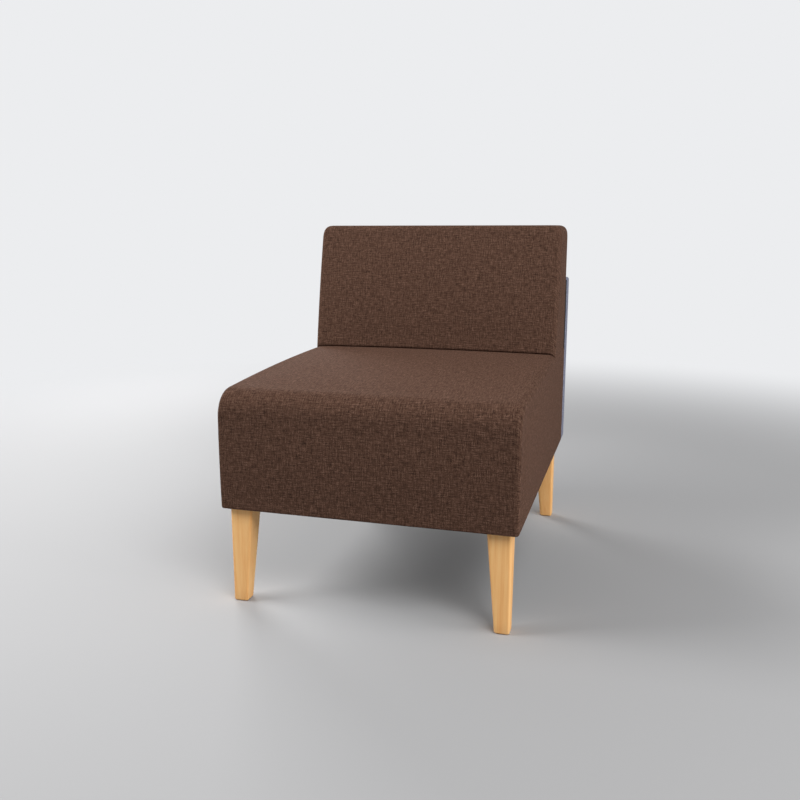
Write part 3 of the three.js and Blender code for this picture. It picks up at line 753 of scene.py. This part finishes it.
# Back cushion: a wedge that stands on the seat and follows its crown and shoulders
backCushion = {
    **coverForm,
    "top": 762 * mm,
    "footFront": 529 * mm,
    "lean": 63 * mm,
    "radii": [5 * mm, 5 * mm, 14 * mm, 18 * mm],
    "sideRadii": [1.5 * mm, 20 * mm, 21 * mm, 12 * mm],
    "swells": [0, 0, 0, 4 * mm],
    "arcSteps": [2, 2, 3, 4],
    "rearTaper": 1.5 * mm,
    "sideSwell": 3.2 * mm,
    "lift": 3.6 * mm,
    "seam": {"inset": 6.2 * mm, "width": 1.0 * mm, "depth": 0.5 * mm},
    "ease": 55 * mm,
    "free": [0, 0, 0, 1, 1],
    "fitHeight": 40 * mm,
}


def backCorners(x):
    distance = max(chairPlan["half"] - abs(x), backCushion["sideRadii"][0])
    drop = drawnIn(seatCover["sideRadii"][topSide], distance) - chairPlan["gap"]
    front, rear = fromFront(backCushion["footFront"]), fromFront(chairPlan["depth"])
    top = backCushion["top"]
    return [(front, seatTop(x, front) - drop), (rear, seatTop(x, rear) - drop),
            (rear, top), (front + backCushion["lean"], top)]


# The foot follows the seat's crown between the two lower corners, and the sides draw in towards the rear
def layOnSeat(piece, freedom):
    points = readPoints(piece.data.vertices, "co")
    front, rear = fromFront(backCushion["footFront"]), fromFront(chairPlan["depth"])
    for number, (x, y, z) in enumerate(points):
        share = (y - front) / (rear - front)
        straight = seatTop(x, front) * (1 - share) + seatTop(x, rear) * share
        rise = seatTop(x, min(max(y, front), rear)) - straight
        weight = 1 - float(smooth(z - straight, 0.0, backCushion["fitHeight"]))
        points[number, 2] += rise * weight
        taper = min(max(share, 0.0), 1.0) * backCushion["rearTaper"]
        points[number, 0] *= 1 - taper / backCushion["half"]
    writePoints(piece.data, points)
    return freedom


backForm = {
    **backCushion,
    "corners": backCorners,
    "shares": [evenShares(15), evenShares(25), evenShares(12), evenShares(24)],
}
makeCover("backCushion", "back_cover", backForm, brownClothMaterial, layOnSeat)


# Rear panel's cover in the second cloth, thinly padded, open at its hidden front
rearPanel = {
    **coverForm,
    "half": 302.3 * mm,
    "front": 760.3 * mm,
    "thickness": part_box("panel_cover")[1].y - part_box("panel_cover")[0].y,
    "top": 630 * mm,
    "radii": [0.5 * mm, 6 * mm, 6 * mm, 6 * mm],
    "sideRadii": [6 * mm, 6 * mm, 6 * mm, 1.5 * mm],
    "swells": [0, 2 * mm, 0, 0],
    "arcSteps": [2, 2, 2, 2],
    "run": 420 * mm,
    "hem": 28 * mm,
    "sideSwell": 0.5 * mm,
    "lift": 1.5 * mm,
    "seam": {"inset": 1.8 * mm, "width": 0.6 * mm, "depth": 0.3 * mm},
    "ease": 40 * mm,
    "free": [0, 1, 0, 0, 0],
}


panelUpShares = hemShares(rearPanel["run"], rearPanel["radii"][1], rearPanel["hem"], 30)
panelForm = {
    **rearPanel,
    "corners": boxCorners(fromFront(rearPanel["front"]), rearPanel["thickness"],
                          rearPanel["top"], rearPanel["top"]),
    "shares": [evenShares(4), panelUpShares, evenShares(4), panelUpShares],
    "opening": openingBox(rearPanel, 0.0, fromFront(rearPanel["front"]),
                          chairPlan["underside"] + rearPanel["hem"], rearPanel["top"] - rearPanel["hem"]),
}
makeCover("panelCover", "panel_cover", panelForm, blueClothMaterial)


# Fillings: foam and padding, a wall's thickness inside the covers and cut to the frame
fillings = {"form": {"wall": 3.4 * mm, "quad": 20 * mm}, "clear": 0.3 * mm, "far": 1.0}


def boxCutter(low, high):
    corners = [(x, y, z) for x in (low[0], high[0]) for y in (low[1], high[1]) for z in (low[2], high[2])]
    faces = [(0, 1, 3, 2), (4, 6, 7, 5), (0, 4, 5, 1), (2, 3, 7, 6), (0, 2, 6, 4), (1, 5, 7, 3)]
    return newPiece("cutter", corners, faces)


def makeFilling(name, node, form, cuts):
    inner = {**form, **coverForm, "half": form["half"], **fillings["form"]}
    piece = coverMesh(name, inner)[0]
    cutters = [boxCutter(low, high) for low, high in cuts]
    finished(piece, foamMaterial, [
        ("BOOLEAN", {"object": cutter, "operation": "DIFFERENCE", "solver": "EXACT"})
        for cutter in cutters])
    for cutter in cutters:
        bpy.data.objects.remove(cutter)
    handOver(piece, [node])


def makeFillings():
    clear, far = fillings["clear"], fillings["far"]
    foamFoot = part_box("seat_foam")[0].z
    makeFilling("seatFoam", "seat_foam", seatForm, [((-far, -far, -far), (far, far, foamFoot))])
    railLow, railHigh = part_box("seat_front_rail")
    makeFilling("seatPadding", "seat_padding", seatForm, [
        ((-far, -far, foamFoot - clear), (far, far, far)),
        ((railLow.x - clear, railLow.y - clear, -far), (railHigh.x + clear, far, far)),
    ])
    boardLow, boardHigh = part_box("back_board")
    makeFilling("backFoam", "back_foam", backForm, [
        ((boardLow.x - clear, boardLow.y - clear, boardLow.z - clear),
         (boardHigh.x + clear, far, boardHigh.z + clear)),
    ])
    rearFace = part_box("panel_rear_board")[1].y + clear
    makeFilling("panelPadding", "panel_padding", panelForm, [((-far, -far, -far), (far, rearFace, far))])


makeFillings()


# Geometry Nodes helpers: a tree with named inputs, and a modifier whose inputs go in by identifier

def geometryTree(name, inputs):
    tree = bpy.data.node_groups.new(name, "GeometryNodeTree")
    sockets = [(label, kind) for kind, labels in inputs.items() for label in labels.split()]
    for label, kind in [("Geometry", "Geometry")] + sockets + [("Material", "Material")]:
        tree.interface.new_socket(name=label, in_out="INPUT", socket_type="NodeSocket" + kind)
    tree.interface.new_socket(name="Geometry", in_out="OUTPUT", socket_type="NodeSocketGeometry")
    return tree, tree.nodes.new("NodeGroupInput").outputs


def alongX(tree):
    return output(tree, "ShaderNodeSeparateXYZ", {0: output(tree, "GeometryNodeInputPosition")})


def raised(tree, geometry, lift):
    offset = vectorOf(tree, 0.0, 0.0, lift)
    return output(tree, "GeometryNodeSetPosition", {"Geometry": geometry, "Offset": offset})


def endTree(tree, entry, geometry):
    real = output(tree, "GeometryNodeRealizeInstances", {0: geometry})
    painted = output(tree, "GeometryNodeSetMaterial", {"Geometry": real, "Material": entry["Material"]})
    tree.links.new(painted, tree.nodes.new("NodeGroupOutput").inputs[0])
    return tree


def grown(name, tree, values, points=(), edges=()):
    piece = newPiece(name, points, (), edges)
    modifier = piece.modifiers.new(name, "NODES")
    modifier.node_group = tree
    for socket in tree.interface.items_tree:
        if socket.in_out == "INPUT" and socket.name in values:
            modifier[socket.identifier] = values[socket.name]
    settle(piece)
    return piece


def roundBar(tree, curve, sides, radius):
    profile = output(tree, "GeometryNodeCurvePrimitiveCircle", {"Resolution": sides, "Radius": radius})
    return output(tree, "GeometryNodeCurveToMesh", {
        "Curve": curve, "Profile Curve": profile, "Fill Caps": True})


# Elastic webbing: rows of straps that pass over and under each other, flat on the rails at their ends
webbing = {
    "longCount": 4,
    "crossCount": 5,
    "steepness": 1.8,
    "flatFrom": 0.6,
    "faceCorners": (121, 7, 2),
    "inputs": {"Width": 60 * mm, "Thickness": 1.8 * mm, "Wave": 1.05 * mm, "Material": webbingMaterial},
}


def strapTree():
    tree, entry = geometryTree("webbingRow", {
        "Float": "Length Width Thickness Wave Crossing Pitch",
        "Int": "Crossings Count",
        "Vector": "Turn Place"})
    size = vectorOf(tree, entry["Length"], entry["Width"], entry["Thickness"])
    strap = output(tree, "GeometryNodeMeshCube", dict(enumerate((size, *webbing["faceCorners"]))))
    x = alongX(tree)
    span = times(tree, entry["Crossing"], calc(tree, "SUBTRACT", entry["Crossings"], 1.0))
    fromFirst = timesPlus(tree, span, 0.5, x)
    phase = times(tree, calc(tree, "DIVIDE", fromFirst, entry["Crossing"]), math.pi)
    steep = times(tree, calc(tree, "COSINE", phase), webbing["steepness"])
    flat = calc(tree, "MAXIMUM", calc(tree, "MINIMUM", steep, 1.0), -1.0)
    beyond = calc(tree, "SUBTRACT", calc(tree, "ABSOLUTE", x), times(tree, span, 0.5))
    flatFrom = times(tree, entry["Width"], webbing["flatFrom"])
    rest = smoothStep(tree, beyond, flatFrom, entry["Width"], 1.0, 0.0)
    lift = times(tree, times(tree, flat, rest), entry["Wave"])
    half = times(tree, calc(tree, "SUBTRACT", entry["Count"], 1.0), -0.5)
    row = output(tree, "GeometryNodeMeshLine", {
        "Count": entry["Count"],
        "Start Location": vectorOf(tree, 0.0, times(tree, half, entry["Pitch"])),
        "Offset": vectorOf(tree, 0.0, entry["Pitch"])})
    turned = calc(tree, "FLOORED_MODULO", output(tree, "GeometryNodeInputIndex"), 2.0)
    rows = output(tree, "GeometryNodeInstanceOnPoints", {
        "Points": row, "Instance": raised(tree, strap, lift),
        "Rotation": vectorOf(tree, times(tree, turned, math.pi), 0.0)})
    placed = output(tree, "GeometryNodeTransform", {
        "Geometry": rows, "Translation": entry["Place"], "Rotation": entry["Turn"]})
    return endTree(tree, entry, placed)


def makeWebbing():
    tree = strapTree()
    longs = [f"webbing_long_{i + 1}" for i in range(webbing["longCount"])]
    crosses = [f"webbing_cross_{i + 1}" for i in range(webbing["crossCount"])]
    acrossPitch = middleOf(longs[1]).x - middleOf(longs[0]).x
    alongPitch = middleOf(crosses[1]).y - middleOf(crosses[0]).y
    place = (0, (middleOf(crosses[0]).y + middleOf(crosses[-1]).y) / 2, middleOf(longs[0]).z)
    for name, own, others, axis, pitch, crossing, turn in (
            ("webbingLengthwise", longs, crosses, 1, acrossPitch, alongPitch, math.pi / 2),
            ("webbingCrosswise", crosses, longs, 0, alongPitch, acrossPitch, 0)):
        low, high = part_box(own[0])
        piece = grown(name, tree, {
            **webbing["inputs"], "Length": high[axis] - low[axis], "Turn": (0, 0, turn), "Place": place,
            "Pitch": pitch, "Count": len(own), "Crossing": crossing, "Crossings": len(others)})
        handOver(piece, own)


makeWebbing()


# Dust cloth: a thin sheet drawn over the frame's underside, sagging a little between the rails
dustCloth = {
    "thickness": 0.5 * mm,
    "grid": 9 * mm,
    "sag": 3.0 * mm,
    "rail": 48 * mm,
    "pucker": 0.35 * mm,
    "puckerEnds": (10 * mm, 30 * mm),
    "holeHalf": 8 * mm,
    "corner": 8 * mm,
}

# Staples along the dust cloth's edge, between the legs
staples = {
    "edge": 7 * mm,
    "cornerClear": 72 * mm,
    "bendFrom": 0.78,
    "steps": 13,
    "sides": 6,
    "inputs": {
        "Spacing": 46 * mm,
        "Crown": 11 * mm,
        "Wire": 1.1 * mm,
        "Leg": 1.8 * mm,
        "Skew": 0.12,
        "Seed": 7,
        "Material": zincMaterial,
    },
}


def makeDustCloth():
    low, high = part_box("dust_cloth")
    columns = round((high.x - low.x) / dustCloth["grid"])
    rows = round((high.y - low.y) / dustCloth["grid"])
    bolts = [middleOf(name) for name in cadNodes if name.startswith("leg_bolt")]
    corner, rail, hole = dustCloth["corner"], dustCloth["rail"], dustCloth["holeHalf"]
    points, faces = [], []
    for i in range(columns + 1):
        for j in range(rows + 1):
            x = low.x + (high.x - low.x) * i / columns
            y = low.y + (high.y - low.y) * j / rows
            edgeX, edgeY = min(x - low.x, high.x - x), min(y - low.y, high.y - y)
            edge = min(edgeX, edgeY)
            inward = float(smooth(edge, rail, 4 * rail))
            near = float(1 - smooth(edge, *dustCloth["puckerEnds"]))
            turns = (y if edgeX < edgeY else x) / staples["inputs"]["Spacing"]
            pucker = dustCloth["pucker"] * near * (0.5 - 0.5 * math.cos(2 * math.pi * turns))
            reachX, reachY = max(corner - edgeX, 0.0), max(corner - edgeY, 0.0)
            pull = 1 - corner / max(math.hypot(reachX, reachY), corner)
            x += math.copysign(reachX * pull, -x)
            y += math.copysign(reachY * pull, -y)
            points.append((x, y, high.z - dustCloth["sag"] * inward - pucker))
    for i in range(columns):
        for j in range(rows):
            first, second = i * (rows + 1) + j, (i + 1) * (rows + 1) + j
            quad = [first, first + 1, second + 1, second]
            centre = sum((Vector(points[q]) for q in quad), Vector()) / 4
            if not any(abs(centre.x - bolt.x) < hole and abs(centre.y - bolt.y) < hole for bolt in bolts):
                faces.append(quad)
    piece = newPiece("dustCloth", points, faces)
    wall = ("SOLIDIFY", {"thickness": dustCloth["thickness"], "offset": -1.0})
    finished(piece, nonwovenMaterial, [wall])
    handOver(piece, ["dust_cloth"])


def stapleTree():
    tree, entry = geometryTree("stapleRow", {"Float": "Spacing Crown Wire Leg Skew", "Int": "Seed"})
    half = times(tree, entry["Crown"], 0.5)
    line = output(tree, "GeometryNodeCurvePrimitiveLine", {
        "Start": vectorOf(tree, times(tree, half, -1.0), 0.0), "End": vectorOf(tree, half, 0.0)})
    wire = output(tree, "GeometryNodeResampleCurve", {"Curve": line, "Count": staples["steps"]})
    x = alongX(tree)
    reach = calc(tree, "DIVIDE", calc(tree, "ABSOLUTE", x), half)
    bend = smoothStep(tree, reach, staples["bendFrom"], 1.0, 0.0, entry["Leg"])
    staple = roundBar(tree, raised(tree, wire, bend), staples["sides"], times(tree, entry["Wire"], 0.5))
    path = output(tree, "GeometryNodeMeshToCurve", {"Mesh": entry["Geometry"]})
    marks = output(tree, "GeometryNodeResampleCurve", {
        "Curve": path, "Length": entry["Spacing"]}, mode="LENGTH")
    tangent = output(tree, "GeometryNodeInputTangent")
    aligned = output(tree, "FunctionNodeAlignRotationToVector", {"Vector": tangent}, axis="X")
    skew = addNode(tree, "FunctionNodeRandomValue", {
        2: times(tree, entry["Skew"], -1.0), 3: entry["Skew"], "Seed": entry["Seed"]}).outputs[1]
    turned = output(tree, "FunctionNodeRotateRotation", {
        "Rotation": aligned, "Rotate By": vectorOf(tree, 0.0, 0.0, skew)}, rotation_space="LOCAL")
    rows = output(tree, "GeometryNodeInstanceOnPoints", {
        "Points": marks, "Instance": staple, "Rotation": turned})
    return endTree(tree, entry, rows)


def makeStaples():
    low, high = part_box("dust_cloth")
    edge, clear = staples["edge"], staples["cornerClear"]
    level = low.z + dustCloth["thickness"] / 2 - staples["inputs"]["Wire"] / 2
    points = [(x, y, level) for x in (low.x + edge, high.x - edge)
              for y in (low.y + clear, high.y - clear)]
    points += [(x, y, level) for y in (low.y + edge, high.y - edge)
               for x in (low.x + clear, high.x - clear)]
    edges = [(0, 1), (2, 3), (4, 5), (6, 7)]
    handOver(grown("dustClothStaples", stapleTree(), staples["inputs"], points, edges))


makeDustCloth()
makeStaples()


# Painted shade: a thin black round bar on the panel cover's front edges stands in for the shadow in the
# groove behind the cushion, as a dark line
grooveShadeBar = {
    "fromSide": 2.6 * mm,
    "fromPanel": 1.6 * mm,
    "low": 438 * mm,
    "high": 625 * mm,
    "steps": 24,
    "sides": 12,
    "inputs": {"Radius": 1.5 * mm, "Material": nonwovenMaterial},
}


def grooveShadeTree():
    tree, entry = geometryTree("grooveShadeEdge", {"Float": "Radius"})
    path = output(tree, "GeometryNodeMeshToCurve", {"Mesh": entry["Geometry"]})
    steps = output(tree, "GeometryNodeResampleCurve", {"Curve": path, "Count": grooveShadeBar["steps"]})
    return endTree(tree, entry, roundBar(tree, steps, grooveShadeBar["sides"], entry["Radius"]))


# painted shade: a black bar laid along the groove where its shadow falls
def makeGrooveShade():
    x = rearPanel["half"] - grooveShadeBar["fromSide"]
    y = fromFront(rearPanel["front"]) - grooveShadeBar["fromPanel"]
    ends = [(side * x, y, z) for side in (-1, 1) for z in (grooveShadeBar["low"], grooveShadeBar["high"])]
    piece = grown("panelGrooveShade", grooveShadeTree(), grooveShadeBar["inputs"], ends, [(0, 1), (2, 3)])
    shadeSmooth(piece.data)
    handOver(piece)


makeGrooveShade()


# Legs: two upright outer faces, two tapered inner ones, rounded edges, bored for bolt and glide nail
leg = {
    "topSize": 47.4 * mm,
    "footSize": 30.4 * mm,
    "radius": 5 * mm,
    "footRound": 2.2 * mm,
    "footAngles": (0, 30, 60, 90),
    "glideSunk": 2.6 * mm,
    "glideRadius": 11.3 * mm,
    "boltPlace": 31 * mm,
    "boltRadius": 4.3 * mm,
    "boltDepth": 38 * mm,
    "nailRadius": 1.7 * mm,
    "nailDepth": 15.6 * mm,
    "arcSteps": 6,
    "rings": 9,
    "sharpAngle": 35,
}


def roundedSquare(size, trim, z):
    radius, steps = leg["radius"], leg["arcSteps"]
    low, high = trim + radius, size - trim - radius
    ring = []
    for quarter, (x, y) in enumerate([(high, low), (high, high), (low, high), (low, low)]):
        for i in range(steps + 1):
            angle = math.radians(90 * (quarter - 1 + i / steps))
            ring.append((x + radius * math.cos(angle), y + radius * math.sin(angle), z))
    return ring


def boreRing(ring, place, radius, z):
    centre = Vector((place, place))
    return [(*(centre + (Vector(point[:2]) - centre).normalized() * radius), z) for point in ring]


def makeLeg(corner, signX, inY):
    low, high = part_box("leg_" + corner)
    seatOfGlide, top = low.z, high.z
    foot = seatOfGlide - leg["glideSunk"]
    half, footRound = leg["footSize"] / 2, leg["footRound"]
    nailEnd, boltEnd = seatOfGlide + leg["nailDepth"], top - leg["boltDepth"]
    rings = []
    for angle in leg["footAngles"]:
        turned = math.radians(angle)
        rings.append(roundedSquare(leg["footSize"], footRound * (1 - math.sin(turned)),
                                   foot + footRound * (1 - math.cos(turned))))
    for i in range(1, leg["rings"] + 1):
        share = i / leg["rings"]
        rings.append(roundedSquare(leg["footSize"] + (leg["topSize"] - leg["footSize"]) * share, 0,
                                   foot + footRound + (top - foot - footRound) * share))
    nail = [boreRing(rings[0], half, radius, z) for radius, z in (
        (leg["nailRadius"], nailEnd), (leg["nailRadius"], seatOfGlide),
        (leg["glideRadius"], seatOfGlide), (leg["glideRadius"], foot))]
    bolt = [boreRing(rings[-1], leg["boltPlace"], leg["boltRadius"], z) for z in (top, boltEnd)]
    rings = nail + rings + bolt
    count = len(rings[0])
    points = [point for ring in rings for point in ring]
    points += [(half, half, nailEnd), (leg["boltPlace"], leg["boltPlace"], boltEnd)]
    last = (len(rings) - 1) * count
    faces = []
    for j in range(count):
        k = (j + 1) % count
        faces.append((len(points) - 2, k, j))
        for i in range(0, last, count):
            faces.append((i + j, i + k, i + count + k, i + count + j))
        faces.append((len(points) - 1, last + j, last + k))
    turn = Matrix.Rotation(math.atan2(inY, -signX) - math.pi / 4, 4, "Z")
    outer = Vector((high.x if signX > 0 else low.x, low.y if inY > 0 else high.y, 0))
    name = "leg" + "".join(word.capitalize() for word in corner.split("_"))
    piece = newPiece(name, [outer + turn @ Vector(point) for point in points], faces)
    piece.data.materials.append(beechMaterial)
    shadeSmooth(piece.data)
    piece.data.set_sharp_from_angle(angle=math.radians(leg["sharpAngle"]))
    handOver(piece, ["leg_" + corner])


for endName, inY in (("front", 1), ("rear", -1)):
    for sideName, signX in (("left", -1), ("right", 1)):
        makeLeg(f"{endName}_{sideName}", signX, inY)


# CAD pieces that stay, each with a better material
cadFinishes = {
    "_bolt_": zincMaterial,
    "_nut_": zincMaterial,
    "glide_": nylonMaterial,
    "left_rail": pineAlongMaterial,
    "right_rail": pineAlongMaterial,
    "_upright": pineUprightMaterial,
    "_board": plyMaterial,
}


def finishCadNodes():
    for name, node in cadNodes.items():
        found = [value for key, value in cadFinishes.items() if key in name]
        node.data.materials.clear()
        node.data.materials.append(found[0] if found else pineAcrossMaterial)


finishCadNodes()
print("CAD pieces finished")


# Studio: a pale floor that fades into a pale surround, a soft key from the window's side and soft fills
studio = {
    "floor": {"Base Color": linear(172, 172, 173), "Roughness": 0.75, "Specular IOR Level": 0.2},
    "floorRadius": 14,
    "floorSides": 96,
    "surround": linear(236, 237, 239),
    "fadeFrom": 1.3,
    "fadeTo": 3.2,
    "ambient": 0.10,
    "aim": (0, 0, 0.4),
    "lamps": {
        "leftKey": ((-2.2, -0.8, 2.0), (1.6, 1.6), 68),
        "frontHigh": ((1.8, -2.2, 3.2), (2.0, 2.0), 95),
        "leftRear": ((-2.4, 2.2, 1.6), (1.6, 1.4), 80),
        "right": ((3.0, -0.4, 1.05), (1.6, 0.6), 43),
    },
}


def seenDirectly(tree):
    rays = addNode(tree, "ShaderNodeLightPath").outputs
    direct = calc(tree, "MAXIMUM", rays["Is Camera Ray"], rays["Is Glossy Ray"])
    return calc(tree, "MAXIMUM", direct, rays["Is Transmission Ray"])


def makeStudio():
    bpy.ops.mesh.primitive_circle_add(vertices=studio["floorSides"], radius=studio["floorRadius"],
                                      fill_type="NGON", location=(0, 0, 0))
    floor = bpy.context.object
    floor.name = "studioFloor"
    material, tree, shader = newMaterial("paleFloor", studio["floor"])
    place = addNode(tree, "ShaderNodeTexCoord").outputs["Object"]
    distance = addNode(tree, "ShaderNodeVectorMath", {0: place}, operation="LENGTH").outputs["Value"]
    fade = smoothStep(tree, distance, studio["fadeFrom"], studio["fadeTo"])
    glow = output(tree, "ShaderNodeEmission", {"Color": studio["surround"], "Strength": 1.0})
    mixed = output(tree, "ShaderNodeMixShader", {
        0: times(tree, fade, seenDirectly(tree)), 1: shader.outputs[0], 2: glow})
    tree.links.new(mixed, tree.nodes["Material Output"].inputs[0])
    floor.data.materials.append(material)

    world = bpy.data.worlds.new("paleSurround")
    scene.world = world
    world.use_nodes = True
    tree = world.node_tree
    background = tree.nodes["Background"]
    background.inputs[0].default_value = studio["surround"]
    strength = blendValues(tree, seenDirectly(tree), studio["ambient"], 1.0)
    tree.links.new(strength, background.inputs[1])

    for name, (place, size, power) in studio["lamps"].items():
        data = bpy.data.lights.new(name, "AREA")
        data.shape = "RECTANGLE"
        data.size, data.size_y = size
        data.energy = power
        light = newObject(name, data)
        light.location = place
        aim = Vector(studio["aim"]) - light.location
        light.rotation_euler = aim.to_track_quat("-Z", "Y").to_euler()


makeStudio()
scene.view_settings.view_transform = "Standard"
print("studio made")
